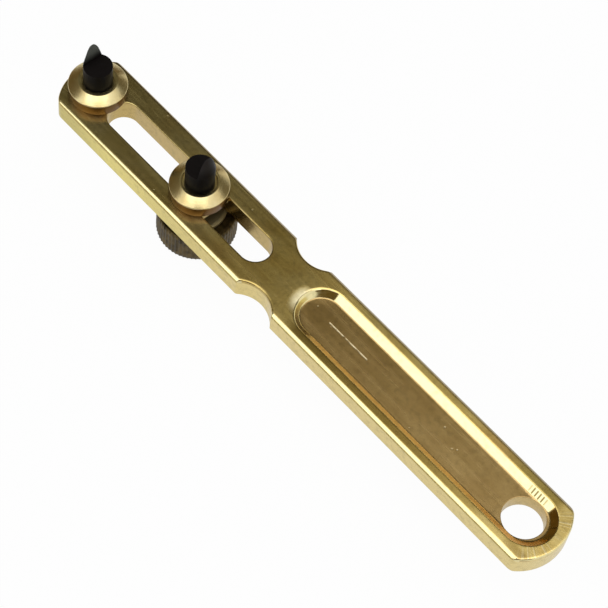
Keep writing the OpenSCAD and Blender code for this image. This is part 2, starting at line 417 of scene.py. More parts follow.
HOLE_COLUMNS = 144
HOLE_ROUNDING = (0.04, 0.28)
RING_STEPS = (HOLE_ROUNDING[0], 0.16, 0.3, 0.45, 0.6, 0.75)
hole_rings = ring_rows([(HOLE_RADIUS + step, 0) for step in RING_STEPS], 0, HOLE_COLUMNS)
hole_rings[:, :, 2] = panel_height(hole_rings[:, :, 0], hole_rings[:, :, 1])
hole_profile = rounded([(HOLE_RADIUS + 0.45, PANEL_Z), (HOLE_RADIUS, PANEL_Z), (HOLE_RADIUS, 0),
                        (HOLE_RADIUS + 0.55, 0)], HOLE_ROUNDING)[1:]
hole_wall = ring_rows(hole_profile, 0, HOLE_COLUMNS)
lift = hole_rings[0, :, 2] - PANEL_Z
hole_wall[:, :, 2] += lift * hole_wall[:, :, 2] / PANEL_Z
ring_limit = HOLE_RADIUS + RING_STEPS[-1] + 0.1
away = np.hypot(panel_rows[:-1, :, 0], panel_rows[:-1, :, 1]) > ring_limit
panel_points = np.vstack([panel_rows[:-1][away], hole_rings[1:].reshape(-1, 3)])
print("panel points round the hole:", len(panel_points))

# %% [markdown]
# ### The stepped hole under the fixed jaw
#
# The fixed jaw stands in a hole that is drilled wide from above for the pin's stem, then
# narrow for a screw, and opened to a cone below for the screw's head. Three drills make it,
# and three booleans would too, but one turned profile gives all of it at once.

# %% The stepped hole
STEM_HOLE_RADIUS, SCREW_HOLE_RADIUS, SCREW_HEAD_RADIUS = 2.1, 1.35, 2.42
STEP_Z, CONE_TOP_Z, CONE_FOOT_Z = 1.6, 1.17, 0.1
screw_seat = [(STEM_HOLE_RADIUS, THICKNESS), (STEM_HOLE_RADIUS, STEP_Z),
              (SCREW_HOLE_RADIUS, STEP_Z), (SCREW_HOLE_RADIUS, CONE_TOP_Z),
              (SCREW_HEAD_RADIUS, CONE_FOOT_Z), (SCREW_HEAD_RADIUS, 0)]
seat_wall = ring_rows(screw_seat, FIXED_X, 96)
print("stepped hole grid:", seat_wall.shape)

# %% [markdown]
# ### The flat faces
#
# What is left is nearly flat: the top, the underside and the panel's floor, each with
# openings in it. One big polygon can't hold a hole. So a triangulation joins the loops, and
# keeps the triangles that lie inside the outline and outside the openings.

# %% Fill the faces between the loops


def crossings(points, loop):
    """True for the points inside the loop.

    A line from such a point to the right meets the loop's edges an odd number of times.
    """
    x, y = points[:, 0][:, None], points[:, 1][:, None]
    x1, y1 = loop[:, 0], loop[:, 1]
    x2, y2 = np.roll(x1, -1), np.roll(y1, -1)
    spans = (y1 > y) != (y2 > y)
    rise = np.where(y2 == y1, 1, y2 - y1)
    meets = spans & (x < x1 + (y - y1) * (x2 - x1) / rise)
    return meets.sum(axis=1) % 2 == 1


def patch(outer, holes, inside=None):
    """Triangles, seen from above, between the outer loop and the holes.

    They use every point of `inside` too, and each corner keeps its own height.
    """
    loops = [outer] + list(holes)
    edges = []
    first = 0
    for loop in loops:
        here = np.arange(len(loop))
        edges += np.column_stack([first + here, first + np.roll(here, -1)]).tolist()
        first += len(loop)
    points = np.vstack(loops if inside is None else loops + [inside])
    flat = [Vector(p) for p in points[:, :2].tolist()]
    _, _, triangles, sources, *_ = delaunay_2d_cdt(flat, edges, [], 0, 1e-7)
    corners = points[[source[0] for source in sources]]
    triangles = np.array([tuple(t) for t in triangles])
    centres = corners[triangles].mean(axis=1)
    kept = crossings(centres, loops[0])
    for loop in loops[1:]:
        kept &= ~crossings(centres, loop)
    return corners, triangles[kept]


panel_rim = panel_rows[-1]
top_face = patch(handle_wall[-1], [panel_rim, slot_wall[0], seat_wall[0]])
under_face = patch(handle_wall[0], [slot_wall[-1], hole_wall[-1], seat_wall[-1]])
panel_face = patch(panel_rim, [hole_wall[0]], panel_points)
handle = weld("brass_handle",
              [(handle_wall, False), (slot_wall, False), (hole_wall, False), (seat_wall, False)],
              [top_face, under_face, panel_face])

# %% [markdown]
# ## The two collars
#
# Each collar is a turned brass ring: a straight side, a shallow cone and a narrow flat
# round the bore. It could be a cylinder with a bevel, but a lathe cuts exactly one profile,
# and writing that profile down keeps the cone's angle true. The sliding collar also has a
# square-ended tongue that drops into the slot and keeps the jaw from turning.

# %% Turn the collars
COLLAR_RADIUS, COLLAR_SIDE, COLLAR_HEIGHT = 5.05, 2.05, 3.0
FOOT_START, CONE_TOP_RADIUS = 2.6, 3.35
BORE_RADIUS, POCKET_RADIUS, POCKET_FLOOR = 2.06, 2.51, 0.9
COLLAR_ROUNDING = (0.06, 0.2, 0.1, 0.05, 0, 0, 0, 0, 0)


def collar_rows(foot_z, x, mouth, drop):
    """A closed profile turned about x: up the side, over the cone, and down the bore.

    The bore's mouth is opened out to the radius `mouth` for a depth of `drop`.
    """
    ledge = COLLAR_HEIGHT - drop
    corners = [(FOOT_START, 0), (COLLAR_RADIUS, 0), (COLLAR_RADIUS, COLLAR_SIDE),
               (CONE_TOP_RADIUS, COLLAR_HEIGHT), (mouth, COLLAR_HEIGHT), (mouth, ledge),
               (POCKET_RADIUS, ledge), (POCKET_RADIUS, POCKET_FLOOR),
               (BORE_RADIUS, POCKET_FLOOR), (BORE_RADIUS, 0), (FOOT_START, 0)]
    profile = rounded(corners, COLLAR_ROUNDING)[:-1]
    profile[:, 1] += foot_z
    return ring_rows(profile, x)


FOOT_GAP = 0.02
FIXED_MOUTH, SLIDING_MOUTH = (2.64, 0.3), (2.97, 0.8)
fixed_rows = collar_rows(THICKNESS, FIXED_X, *FIXED_MOUTH)
fixed_collar = weld("fixed_jaw_collar", [(fixed_rows, True)])
sliding_foot = THICKNESS + FOOT_GAP
sliding_rows = collar_rows(sliding_foot, SLIDING_X, *SLIDING_MOUTH)

# %% [markdown]
# ### The tongue
#
# The sliding collar's tongue is a block that runs in the slot, with the pin's hole through
# it. A cube with a hole would need a boolean. Here rows of points go from the round hole out
# to the square outline and back, so that the two shapes share the same bearings.

# %% The tongue under the sliding collar
TONGUE_DEPTH, HALF_TONGUE_LENGTH, HALF_TONGUE_WIDTH, TONGUE_CORNER = 1.08, 4.2, 2.83, 0.08


def tongue_rows(x, top, depth, half_length, half_width, corner, columns=192):
    """Rows that go from the round bore to a square-ended outline and back.

    The outline's distance from the middle at angle a is the nearer of the two walls,
    min(half_length / |cos a|, half_width / |sin a|).
    """
    angle = (np.arange(columns) + 0.5) * 2 * math.pi / columns
    reach = np.minimum(half_length / np.abs(np.cos(angle)), half_width / np.abs(np.sin(angle)))
    bore = np.full(columns, BORE_RADIUS)
    levels = [(bore, top), (reach, top), (reach, top - depth + corner),
              (reach - corner, top - depth), (bore, top - depth)]
    rows = []
    for distance, z in levels:
        rows.append(np.column_stack([x + distance * np.cos(angle), distance * np.sin(angle),
                                     np.full(columns, z)]))
    return np.array(rows)


tongue = tongue_rows(SLIDING_X, sliding_foot, TONGUE_DEPTH, HALF_TONGUE_LENGTH,
                     HALF_TONGUE_WIDTH, TONGUE_CORNER)
sliding_collar = weld("sliding_jaw_collar", [(sliding_rows, True), (tongue, True)])

# %% [markdown]
# ## The two toothed pins
#
# A pin is a hardened steel rod. Half of its end is ground away and leaves a thin tooth on
# one side, which tapers on the outside and has a rounded tip. Cutting a cylinder with planes
# would work, but here the tooth is one more grid: each row is the pin's cross-section at
# one height, made of an arc, two short sides and a chord. At the end a bevel modifier
# rounds the edges that are still sharp, as handling does.

# %% One cross-section of a pin
PIN_RADIUS = 2.49
SHOULDER = 6.88
TIP = 10.85
TOOTH_X = 1.45
TIP_RADIUS = 1.62
TOOTH_PEAK = TIP + 0.1
TOOTH_SPREAD = 1.05
TOOTH_RIDGE = 0.1
FOOT_CHAMFER = 0.1
ARC_POINTS, SIDE_POINTS, CHORD_POINTS = 61, 9, 61
TOOTH_ANGLE = math.acos(TOOTH_X / PIN_RADIUS)


def section(radius, half_width, inner, ridge, z):
    """Arc of the outer side, then a side, the inner face and the other side.

    The arc spans the angles whose sine is within half_width / radius. The inner face lies
    at x = inner, and its middle stands out by ridge, falling evenly to its two edges.
    """
    reach = math.asin(min(1, half_width / radius))
    angle = np.linspace(-reach, reach, ARC_POINTS)
    outer = np.column_stack([radius * np.cos(angle), radius * np.sin(angle)])
    t = np.linspace(0, 1, SIDE_POINTS + 2)[1:-1, None]
    edge = np.array([inner, outer[-1, 1]])
    side = outer[-1] * (1 - t) + edge * t
    y = np.linspace(edge[1], -edge[1], CHORD_POINTS)
    face = np.column_stack([inner - ridge * (1 - np.abs(y) / edge[1]), y])
    other = side[::-1] * [1, -1]
    loop = np.vstack([outer, side, face, other])
    return np.column_stack([loop, np.full(len(loop), z)])


def shank_section(radius, z):
    """The full circle, with its points shared out as on the tooth above it."""
    angle = np.concatenate([
        np.linspace(-TOOTH_ANGLE, TOOTH_ANGLE, ARC_POINTS),
        np.full(SIDE_POINTS, TOOTH_ANGLE),
        np.linspace(TOOTH_ANGLE, 2 * math.pi - TOOTH_ANGLE, CHORD_POINTS),
        np.full(SIDE_POINTS, -TOOTH_ANGLE),
    ])
    return np.column_stack([radius * np.cos(angle), radius * np.sin(angle),
                            np.full(len(angle), z)])


# %% Stack the cross-sections into a pin


def pin_rows(base):
    """Rows from the foot of the shank to the tooth's tip, both ends drawn in to a point.

    The tooth's outer radius falls evenly with height. Its half width is the chord's, or
    TOOTH_SPREAD times the root of the height below TOOTH_PEAK where that is less, which
    rounds the tip as a parabola.
    """
    rows = [shank_section(0, base), shank_section(PIN_RADIUS - FOOT_CHAMFER, base),
            shank_section(PIN_RADIUS, base + FOOT_CHAMFER), shank_section(PIN_RADIUS, SHOULDER)]
    for z in np.linspace(SHOULDER, TIP, 33):
        rise = (z - SHOULDER) / (TIP - SHOULDER)
        radius = PIN_RADIUS + (TIP_RADIUS - PIN_RADIUS) * rise
        chord = math.sqrt(radius**2 - TOOTH_X**2)
        width = min(chord, TOOTH_SPREAD * math.sqrt(TOOTH_PEAK - z))
        rows.append(section(radius, width, TOOTH_X, TOOTH_RIDGE * (1 - rise), z))
    tip_middle = np.array([(TOOTH_X + TIP_RADIUS) / 2, 0, TIP])
    rows.append(tip_middle + (rows[-1] - tip_middle) * 0)
    return np.array(rows)


def soften(piece, width):
    """Rounds the edges that are still sharp with a bevel of two steps."""
    bevel = piece.modifiers.new("Worn edges", "BEVEL")
    bevel.width = width * MM
    bevel.segments = 2
    bevel.limit_method = "ANGLE"
    bevel.angle_limit = math.radians(35)
    bevel.harden_normals = False
    piece.modifiers.move(len(piece.modifiers) - 1, 0)


# %% [markdown]
# ### The stems
#
# Under its shank each pin has a stem with two flats, which keep it from turning. The sliding
# pin's stem is threaded for the nut. A screw modifier could wind a profile into a helix, but
# the flats would have to be cut off afterwards. Here the distance from the axis is one
# formula of height and bearing, and the flats just cap it.

# %% The threaded stem with two flats
STEM_RADIUS, HALF_FLATS = 2, 1.6
THREAD_PITCH, THREAD_DEPTH = 0.7, 0.38
PLAIN_TOP, PLAIN_FOOT = 2, 0.5
RIM_SWELL, RIM_TOP, RIM_SLOPE = 0.4, 0.55, 0.15


def stem_rows(low, high, thread, rim, bore=(), columns=96):
    """A rod with two flats and a thread wound round it, and a swollen end if it has a rim.

    At height z and angle a the thread's depth is a triangle wave of z / pitch - a / (2 pi).
    The flats cap the distance at HALF_FLATS / |cos a|. The bore lists (radius, height).
    """
    heights = np.arange(low, high, THREAD_PITCH / 8)
    angle = (np.arange(columns) + 0.5) * 2 * math.pi / columns
    turn = heights[:, None] / THREAD_PITCH - angle / (2 * math.pi)
    wave = np.abs(2 * (turn % 1) - 1)
    cut = thread * (heights < high - PLAIN_TOP)[:, None] * (heights > low + PLAIN_FOOT)[:, None]
    distance = np.minimum(STEM_RADIUS - cut * wave, HALF_FLATS / np.abs(np.cos(angle)))
    if rim:
        swell = RIM_SWELL * np.clip((low + RIM_TOP - heights) / RIM_SLOPE, 0, 1)
        distance = distance + swell[:, None]
    inner = bore or [(0, low)]
    inner_rows = [np.full(columns, radius) for radius, _ in inner]
    distance = np.vstack([*inner_rows, distance, np.zeros(columns)])
    heights = np.concatenate([[height for _, height in inner], heights, [heights[-1]]])
    z = np.broadcast_to(heights[:, None], distance.shape)
    return np.stack([distance * np.cos(angle), distance * np.sin(angle), z], axis=-1)


# %% Make both pins


def place(rows, x, z, turned=False):
    """Stands rows that were made about the origin at x, z, turned half round if asked."""
    sign = -1 if turned else 1
    return rows * [sign, sign, 1] + [x, 0, z]


LEDGE = 0.92
INTO_SHANK = 0.5
STEM_FOOT, TAPPED_RADIUS, TAPPED_TOP = 1.62, 1.27, 5.4
tapped_bore = [(0, TAPPED_TOP), (TAPPED_RADIUS, TAPPED_TOP), (TAPPED_RADIUS, STEM_FOOT)]
fixed_stem = stem_rows(STEM_FOOT, THICKNESS + LEDGE + INTO_SHANK, 0.0, False, tapped_bore)
fixed_pin = weld("fixed_jaw_pin", [(place(pin_rows(LEDGE), FIXED_X, THICKNESS), False),
                                   (place(fixed_stem, FIXED_X, 0), False)])
NUT_TOP = -0.84
NUT_HEIGHT = 5.6
NUT_BASE = NUT_TOP - NUT_HEIGHT
sliding_stem = stem_rows(NUT_BASE + 0.35, sliding_foot + LEDGE + INTO_SHANK, THREAD_DEPTH, True)
sliding_pin = weld("sliding_jaw_pin",
                   [(place(pin_rows(LEDGE), SLIDING_X, sliding_foot, turned=True), False),
                    (place(sliding_stem, SLIDING_X, 0), False)])
EDGE_WEAR = 0.05
for pin in (fixed_pin, sliding_pin):
    soften(pin, EDGE_WEAR)

# %% [markdown]
# ## The thumb nut and its washer
#
# The nut is turned from bar that was straight-knurled first: a toothed wheel is pressed
# along it and leaves fine ridges. A bump map would look right from above but leave a
# smooth outline, so the ridges are real here: the radius of the turned profile is a wave
# of the angle. The ridges die out on the two chamfers, which were turned after knurling.

# %% Turn the washer
WASHER_RADIUS, WASHER_TOP, WASHER_BASE = 4.9, -0.02, -0.82
WASHER_START, SLOPE_FOOT, SLOPE_RUN = 3, -0.15, 0.5
washer_corners = [(WASHER_START, WASHER_BASE), (WASHER_RADIUS, WASHER_BASE),
                  (WASHER_RADIUS, SLOPE_FOOT), (WASHER_RADIUS - SLOPE_RUN, WASHER_TOP),
                  (BORE_RADIUS, WASHER_TOP), (BORE_RADIUS, WASHER_BASE),
                  (WASHER_START, WASHER_BASE)]
washer_profile = rounded(washer_corners, [0.08, 0.08, 0.5, 0.05, 0.05])[:-1]
washer = weld("brass_thrust_washer", [(ring_rows(washer_profile, SLIDING_X), True)])

# %% Turn and knurl the nut
NUT_RADIUS, NUT_EDGE = 6.85, 0.25
RECESS_RADIUS, RECESS_DEPTH = 2.9, 2.3
FACE_RADIUS, FACE_DROP, FACE_SLOPE = 5.5, 0.06, 0.1
MOUTH_RADIUS, MOUTH_DEPTH = 2.3, 0.3
KNURL_DEPTH = 0.13


def nut_rows(ridges=60, per_ridge=8):
    """A closed turned profile whose outer side is knurled.

    At the angle a the side is pushed in by KNURL_DEPTH * |sin(ridges * a / 2)|, which gives
    rounded valleys between narrow crests. The push fades out over the two chamfers.
    """
    inner = NUT_RADIUS - NUT_EDGE
    face = NUT_TOP - FACE_DROP
    recess_top = NUT_BASE + RECESS_DEPTH
    side = np.linspace(NUT_BASE + NUT_EDGE, NUT_TOP - NUT_EDGE, 9)
    outer = [(NUT_RADIUS, z) for z in side]
    low = rounded([(RECESS_RADIUS, recess_top), (RECESS_RADIUS, NUT_BASE), (inner, NUT_BASE),
                   (NUT_RADIUS, NUT_BASE + NUT_EDGE)], [0.12, 0.1])
    high = rounded([(NUT_RADIUS, NUT_TOP - NUT_EDGE), (inner, NUT_TOP),
                    (FACE_RADIUS + FACE_SLOPE, NUT_TOP), (FACE_RADIUS, face),
                    (MOUTH_RADIUS, face), (BORE_RADIUS, NUT_TOP - MOUTH_DEPTH)], [0.1, 0, 0, 0])
    profile = np.vstack([low[:-1], outer, high[1:], [(BORE_RADIUS, recess_top)]])
    rows = ring_rows(profile, 0, ridges * per_ridge)
    angle = np.arange(ridges * per_ridge) * 2 * math.pi / (ridges * per_ridge)
    valley = np.abs(np.sin(ridges * angle / 2))
    near = np.clip((profile[:, 0] - inner) / NUT_EDGE, 0, 1)[:, None]
    pressed = 1 - KNURL_DEPTH * near * valley / profile[:, 0][:, None]
    rows[:, :, :2] *= pressed[:, :, None]
    return rows + [SLIDING_X, 0, 0]


nut = weld("knurled_thumb_nut", [(nut_rows(), True)], crease=50)

# %% [markdown]
# ## Which body each piece rides on
#
# The handle, the fixed jaw and the screw move as one body, but only the handle and the
# fixed jaw are hung on it here. The sliding jaw, the washer and the nut are three more,
# because each moves in its own way. Parenting them by hand would do, but the frame knows the
# joints already. A piece that is built again here stands for its plain solid, which is then
# hidden. Only the screw keeps the solid that came with the frame.

# %% Hang every piece on its body
for piece, body, node, slot in (
    (handle, "handle", "handle_bar", "bar_brass"),
    (fixed_collar, "handle", "fixed_collar", "turned_brass"),
    (fixed_pin, "handle", "fixed_pin", "blackened_steel"),
    (sliding_collar, "sliding_jaw", "sliding_collar", "turned_brass"),
    (sliding_pin, "sliding_jaw", "sliding_pin", "blackened_steel"),
    (washer, "washer", "thrust_washer", "turned_brass"),
    (nut, "nut", "thumb_nut", "knurled_steel"),
):
    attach(piece, body)
    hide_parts(node)
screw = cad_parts["clamp_screw"]

# %% [markdown]
# ## Metals
#
# A metal has no colour of its own in the sense that wood has: what it shows is a tinted
# mirror image of the room. So each metal here is a Principled shader with Metallic at 1,
# and what makes it real is how its tint, its roughness and its surface wander. A picture of
# brass could be wrapped round the bar, but it would stretch on the walls. The patterns here
# are worked out from object coordinates, so they fit every side and move with the piece.

# %% Start a metal


def new_metal(name):
    """A material with a Principled shader, its node tree, and the object coordinates."""
    material = bpy.data.materials.new(name)
    material.use_nodes = True
    tree = material.node_tree
    shader = tree.nodes["Principled BSDF"]
    place_on = tree.nodes.new("ShaderNodeTexCoord")
    return material, tree, shader, place_on.outputs["Object"]


def in_millimetres(tree, coords):
    """The object coordinates X, Y and Z, each as a number of millimetres."""
    scaled = tree.nodes.new("ShaderNodeVectorMath")
    scaled.operation = "SCALE"
    scaled.inputs["Scale"].default_value = 1 / MM
    tree.links.new(coords, scaled.inputs[0])
    split = tree.nodes.new("ShaderNodeSeparateXYZ")
    tree.links.new(scaled.outputs["Vector"], split.inputs["Vector"])
    return [split.outputs[axis] for axis in "XYZ"]


# %% Sums on numbers


def maths(tree, kind, first, second=0.0):
    """One sum on two numbers; each may be a socket or a plain number."""
    node = tree.nodes.new("ShaderNodeMath")
    node.operation = kind
    for socket, value in zip(node.inputs, (first, second)):
        if isinstance(value, bpy.types.NodeSocket):
            tree.links.new(value, socket)
        else:
            socket.default_value = value
    return node.outputs["Value"]


def product(tree, *values):
    """Multiplies any number of values."""
    total = values[0]
    for value in values[1:]:
        total = maths(tree, "MULTIPLY", total, value)
    return total


def distance(tree, along, across):
    """The length of a line that goes so far along and so far across: the root of the squares."""
    squares = [product(tree, value, value) for value in (along, across)]
    return maths(tree, "SQRT", maths(tree, "ADD", *squares))


# %% Colours: a ramp and a mix


def as_colour(value):
    """A colour with its alpha. A plain number stands for that grey."""
    return (value, value, value, 1) if isinstance(value, (int, float)) else (*value, 1)


def ramp(tree, value, stops):
    """A colour ramp; stops are (position, colour or grey)."""
    node = tree.nodes.new("ShaderNodeValToRGB")
    elements = node.color_ramp.elements
    while len(elements) < len(stops):
        elements.new(0.5)
    for element, (position, colour) in zip(elements, stops):
        element.position = position
        element.color = as_colour(colour)
    tree.links.new(value, node.inputs["Fac"])
    return node.outputs["Color"]


def blend_colours(tree, factor, first, second, kind="MIX"):
    """Mixes two colours; each may be a socket, a colour or a grey, and the factor a socket."""
    node = tree.nodes.new("ShaderNodeMix")
    node.data_type = "RGBA"
    node.blend_type = kind
    colours = [socket for socket in node.inputs if socket.type == "RGBA"]
    for socket, value in ((node.inputs[0], factor), (colours[0], first), (colours[1], second)):
        if isinstance(value, bpy.types.NodeSocket):
            tree.links.new(value, socket)
        else:
            socket.default_value = as_colour(value) if socket.type == "RGBA" else value
    return [socket for socket in node.outputs if socket.type == "RGBA"][0]


# %% Patterns and relief


def noise(tree, coords, scale, stretch=(1, 1, 1), detail=3.0):
    """Noise whose grains are about 1 / scale metres wide, squeezed by stretch."""
    mapping = tree.nodes.new("ShaderNodeMapping")
    mapping.inputs["Scale"].default_value = stretch
    tree.links.new(coords, mapping.inputs["Vector"])
    texture = tree.nodes.new("ShaderNodeTexNoise")
    texture.inputs["Scale"].default_value = scale
    texture.inputs["Detail"].default_value = detail
    texture.inputs["Roughness"].default_value = 0.55
    tree.links.new(mapping.outputs["Vector"], texture.inputs["Vector"])
    return texture.outputs["Fac"]


def line_noise(tree, value, scale):
    """Noise along one number, so it is the same wherever that number is."""
    texture = tree.nodes.new("ShaderNodeTexNoise")
    texture.noise_dimensions = "1D"
    texture.inputs["Scale"].default_value = scale
    texture.inputs["Detail"].default_value = 2
    tree.links.new(value, texture.inputs["W"])
    return texture.outputs["Fac"]


def bump(tree, height, depth, before=None):
    """Raises the surface by depth metres where height is 1."""
    node = tree.nodes.new("ShaderNodeBump")
    node.inputs["Strength"].default_value = 1
    node.inputs["Distance"].default_value = depth
    tree.links.new(height, node.inputs["Height"])
    if before is not None:
        tree.links.new(before, node.inputs["Normal"])
    return node.outputs["Normal"]


# %% Masks


def fade(tree, value, start, end):
    """0 where value is at start, 1 where it is at end, and a smooth step between them."""
    node = tree.nodes.new("ShaderNodeMapRange")
    node.interpolation_type = "SMOOTHSTEP"
    node.inputs["From Min"].default_value = start
    node.inputs["From Max"].default_value = end
    tree.links.new(value, node.inputs["Value"])
    return node.outputs["Result"]


def window(tree, value, low, high, soft):
    """1 between low and high, and 0 a distance `soft` outside them."""
    return product(tree, fade(tree, value, low - soft, low), fade(tree, value, high + soft, high))


def region(tree, *limits):
    """The product of a fade for each limit, which is (value, where it is 0, where it is 1)."""
    return product(tree, *(fade(tree, *limit) for limit in limits))


def spot(tree, x, y, centre_x, centre_y, size):
    """1 near a point of the XY plane, falling to 0 at the distance `size`."""
    away = [maths(tree, "SUBTRACT", x, centre_x), maths(tree, "SUBTRACT", y, centre_y)]
    return fade(tree, distance(tree, *away), size, size * 0.2)


# %% [markdown]
# ### The bar's brass: which finish lies where
#
# The handle is one metal with several finishes. The top has been rubbed along its length
# and has gone olive. The milled panel is redder and its walls are bright. The upper edges
# shine where hands have polished them. Some masks carry painted shade and painted
# reflections instead: a dark far bevel, a dark line under the near bevel, a brown end wall
# and an amber near wall in the panel, and a top that darkens towards the jaws. The finishes
# could be separate materials, but each would need a seam cut into the mesh, and wear has no
# hard seams. Here masks of X, Y and Z tell them apart, and each mask fades over a fraction
# of a millimetre.

# %% Masks for the parts of the bar


def bar_masks(tree, x, y, z):
    """Masks that are 1 on one part of the bar and 0 off it. All limits are in millimetres.

    from_middle is the distance to the panel's middle line, and from_hole to the hole's axis.
    """
    past_end = maths(tree, "MINIMUM", maths(tree, "SUBTRACT", x, PANEL_X[0]), 0)
    from_middle = distance(tree, past_end, y)
    from_hole = distance(tree, x, y)
    below_top = fade(tree, z, THICKNESS - 0.03, THICKNESS - 0.12)
    panel = product(tree, below_top, region(tree, (from_middle, 5.3, 5.1), (x, 53, 52)))
    wall = product(tree, panel, fade(tree, z, PANEL_Z + 0.03, PANEL_Z + 0.1))
    near_bevel = region(tree, (y, 5.95, 6.05), (z, 3.5, 3.65), (z, 4.245, 4.225))
    end_rim = product(tree, region(tree, (x, 1, 0), (from_middle, 5.5, 5.7)),
                      window(tree, z, 3.95, 4.2, 0.04))
    return {
        "below_top": below_top,
        "panel": panel,
        "bright": maths(tree, "MAXIMUM", maths(tree, "MAXIMUM", wall, near_bevel), end_rim),
        # Painted shade on the panel's end wall at the hanging end.
        "end_wall_painted_shade": product(tree, wall, region(tree, (y, 1.5, 0.5), (x, -1.8, -2.2))),
        # Painted reflection: the panel's near wall is tinted amber.
        "near_wall_painted_reflection": product(tree, wall, region(tree, (y, 0.5, 1.5), (x, 46, 43))),
        "outside": region(tree, (from_middle, 4.3, 4.45), (z, 3.7, 3.6)),
        "slot_side": region(tree, (from_middle, 3.2, 3.1), (x, 57, 58), (z, 4.2, 4.05)),
        "hole_side": region(tree, (from_hole, 3.9, 3.8), (z, 3.0, 2.9)),
        # Painted shade: a dark line on the edge under the near bevel.
        "bevel_foot_painted_shade": region(tree, (y, 6.48, 6.54), (z, 3.55, 3.62)),
        # Painted dark reflection on the far bevel.
        "far_bevel_painted_shade": region(tree, (y, -6.02, -6.12), (z, 3.5, 3.65)),
        "near_land": region(tree, (y, 4.7, 4.9), (y, 6.1, 6.02), (x, 2, 8), (x, 50, 46),
                            (z, 3.7, 4.1)),
        # Painted shade on the top beside the slot.
        "painted_shade_beside_slot": region(tree, (y, 3.5, 5.0), (x, 60, 62)),
        # Painted shade on the far land at the hanging end.
        "painted_shade_far_land": region(tree, (y, -3.9, -4.3), (x, -3.4, -1.5)),
        # Painted shade on the near corner of the hanging end.
        "painted_shade_end_corner": region(tree, (y, 4.2, 5.1), (x, 0, -2.5)),
    }


# %% [markdown]
# ### The bar's tints
#
# Brass goes olive and brown where fingers and air reach it, and stays gold where it is
# rubbed, and one noise spreads those patches over the bar. Ramps along the length, from 0
# at the hanging hole to 1 at the jaw end, then paint shade on the top: darker from the waist
# to the jaws and beside the slot. Each part lays its own tint on, and on the bevels, the
# panel's end and near walls and at the hanging end these tints are painted shade and
# painted reflections.

# %% Tint the bar
TOP_TINTS = [(0.3, (0.73, 0.53, 0.18)), (0.52, (0.77, 0.59, 0.22)), (0.72, (0.81, 0.64, 0.27))]
PANEL_TINTS = [(0.3, (0.42, 0.28, 0.11)), (0.7, (0.5, 0.35, 0.15))]
SIDE_TINTS = [(0.55, (0.8, 0.65, 0.28)), (0.65, (0.78, 0.64, 0.22)), (0.85, (0.84, 0.72, 0.22)),
              (0.94, (0.62, 0.52, 0.15))]
# Painted shade: the top darkens from the waist to the jaws along this ramp.
PAINTED_SHADE_ALONG_TOP = [(0.42, 1.0), (0.5, (0.72, 0.71, 0.68)), (0.57, (0.68, 0.66, 0.6)),
              (0.67, (0.74, 0.78, 0.9))]
# Painted shade on the top beside the slot, along its length.
PAINTED_SHADE_BESIDE_SLOT = [(0.57, 1.0), (0.6, (0.85, 0.8, 0.76)), (0.755, (0.74, 0.7, 0.58)), (0.85, 1.0)]
# Painted shade on the far land at the hanging end.
PAINTED_SHADE_FAR_LAND = [(0.0, (0.6, 0.6, 0.5)), (0.05, (0.64, 0.63, 0.54)), (0.1, (0.88, 0.78, 0.75)),
                 (0.16, 1.0)]
# Painted shade on the near corner of the hanging end.
PAINTED_SHADE_CORNER = (0.72, 0.68, 0.62)
# Painted reflection: the amber of the panel's near wall, along its length.
PAINTED_AMBER_REFLECTION = [(0.04, (0.9, 0.54, 0.16)), (0.09, (1.0, 0.66, 0.22))]
OLIVE_LAND = [(0.08, (0.55, 0.4, 0.13)), (0.2, (0.38, 0.26, 0.07)), (0.42, (0.3, 0.21, 0.06))]


def bar_tint(tree, coords, x, masks):
    """The bar's colour before wear, with painted shade and painted reflections: each part's
    tint is laid over what lies under it.
    """
    patches = noise(tree, coords, 160, (1, 1.6, 1.6), 4)
    share = maths(tree, "MULTIPLY", x, 1 / JAW_END)
    top = ramp(tree, patches, TOP_TINTS)
    # Painted shade along the top, beside the slot and on the far land at the hanging end.
    for mask, shades in ((1.0, PAINTED_SHADE_ALONG_TOP), (masks["painted_shade_beside_slot"], PAINTED_SHADE_BESIDE_SLOT),
                         (masks["painted_shade_far_land"], PAINTED_SHADE_FAR_LAND)):
        top = blend_colours(tree, mask, top, ramp(tree, share, shades), "MULTIPLY")
    # Painted shade on the near corner of the hanging end.
    top = blend_colours(tree, masks["painted_shade_end_corner"], top, PAINTED_SHADE_CORNER, "MULTIPLY")
    colour = blend_colours(tree, masks["outside"], top, ramp(tree, share, SIDE_TINTS))
    for place, tint in (("slot_side", (0.62, 0.46, 0.18)),
                        ("panel", ramp(tree, patches, PANEL_TINTS)),
                        ("hole_side", (0.66, 0.5, 0.22)),
                        ("bright", (0.8, 0.7, 0.37)),
                        # Painted shade on the panel's end wall at the hanging end.
                        ("end_wall_painted_shade", (0.6, 0.4, 0.12)),
                        # Painted reflection: the panel's near wall is tinted amber.
                        ("near_wall_painted_reflection", ramp(tree, share, PAINTED_AMBER_REFLECTION)),
                        ("near_land", ramp(tree, share, OLIVE_LAND)),
                        # Painted shade: a dark line on the edge under the near bevel.
                        ("bevel_foot_painted_shade", (0.6, 0.48, 0.18)),
                        # Painted dark reflection on the far bevel.
                        ("far_bevel_painted_shade", (0.34, 0.26, 0.12))):
        colour = blend_colours(tree, masks[place], colour, tint)
    freckles = ramp(tree, noise(tree, coords, 1100, (1, 1, 1), 4), [(0.3, 0.84), (0.52, 1.0)])
    return blend_colours(tree, 1.0, colour, freckles, "MULTIPLY")


# %% [markdown]
# ### The bar's marks of use
#
# A used tool has a long scratch in the panel, nicks on the top, chatter that the cutter left
# on the wall beside the hole, scratches that fan out on the end, and a rough, sunk crescent
# near the waist whose pale tint is a painted highlight. Grooves could be cut into the mesh,
# but they are thinner than a hair. Here each is a mask, which changes tint, roughness and
# relief at once.

